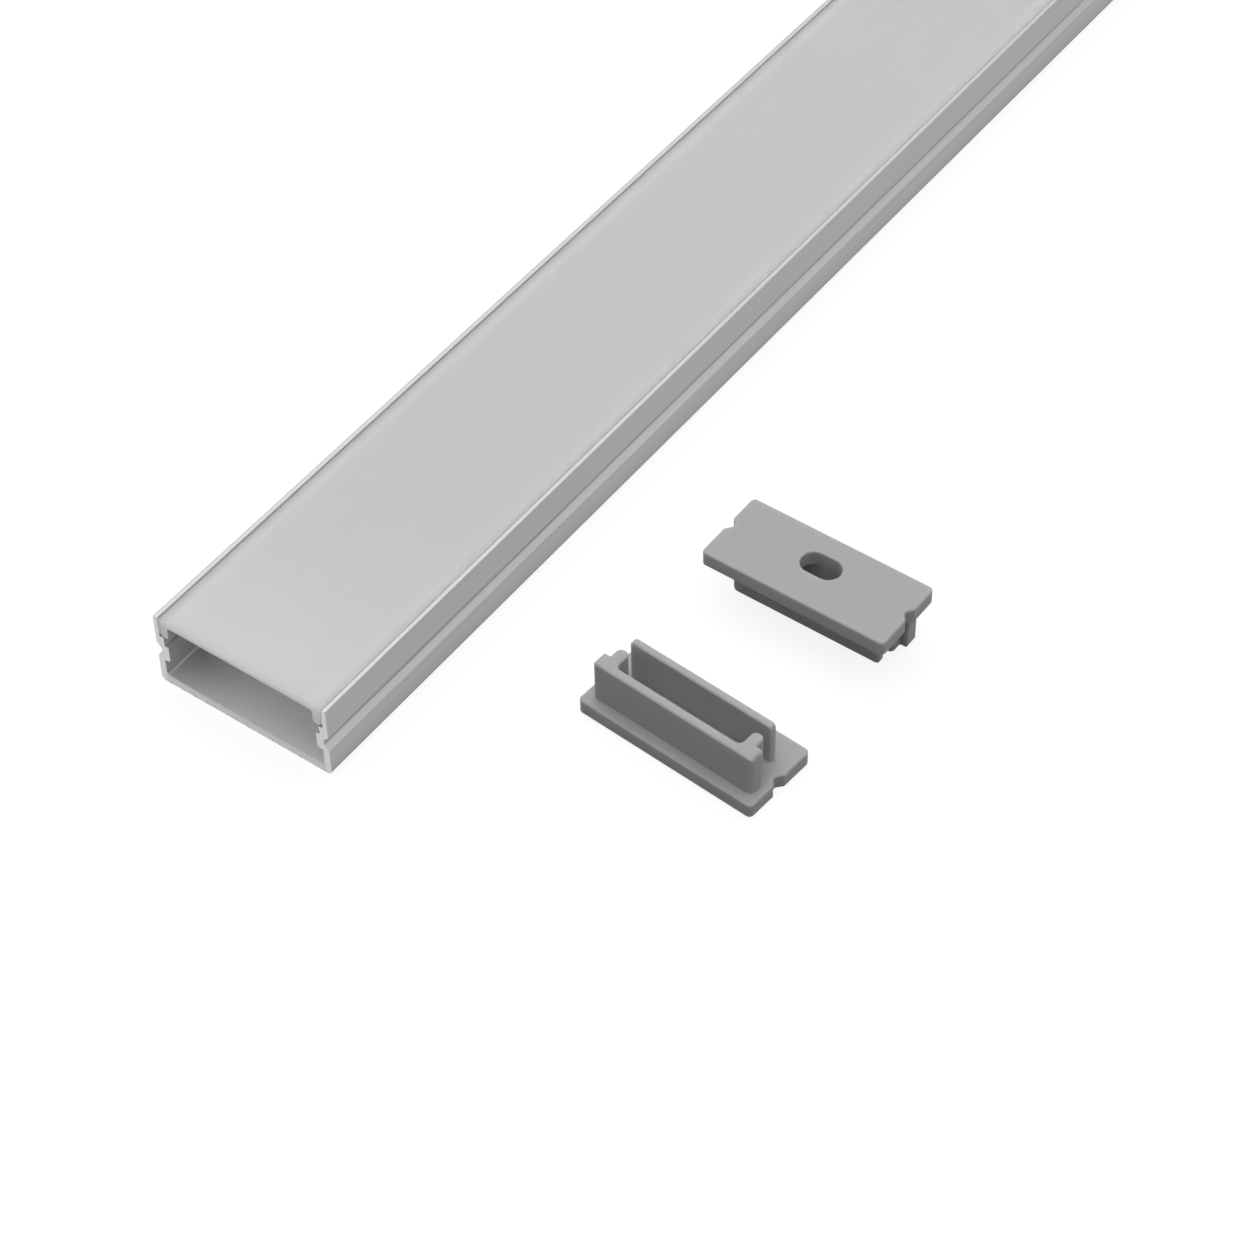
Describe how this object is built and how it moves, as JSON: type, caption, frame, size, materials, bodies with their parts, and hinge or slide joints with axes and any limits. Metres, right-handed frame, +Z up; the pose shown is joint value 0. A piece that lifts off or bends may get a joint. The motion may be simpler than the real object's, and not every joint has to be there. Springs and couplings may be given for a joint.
{
  "type": "led strip aluminium profile",
  "caption": "Straight aluminium channel for an LED strip, with a frosted slide-in cover and two loose end caps, one with an oval cable hole.",
  "frame": {"origin": "middle of the channel's underside, at mid length", "axes": "+X along the channel, away from the end that the loose caps lie beside; +Y across it, away from the caps; +Z up through the cover"},
  "size_m": [0.5, 0.0638, 0.01],
  "materials": {
    "anodised_aluminium": "satin anodised, fine lines along the extrusion",
    "milky_plastic": "milky satin",
    "grey_plastic": "matte moulded"
  },
  "bodies": {
    "profile": {"aluminium_channel": "anodised_aluminium", "end_cap_with_cable_hole": "grey_plastic", "end_cap_blank": "grey_plastic"},
    "cover": {"diffuser_cover": "milky_plastic"}
  },
  "joints": [
    {"name": "cover_slide", "type": "slide", "parent": "profile", "child": "cover", "axis": [1, 0, 0], "range_m": [-0.46, 0.46]}
  ]
}
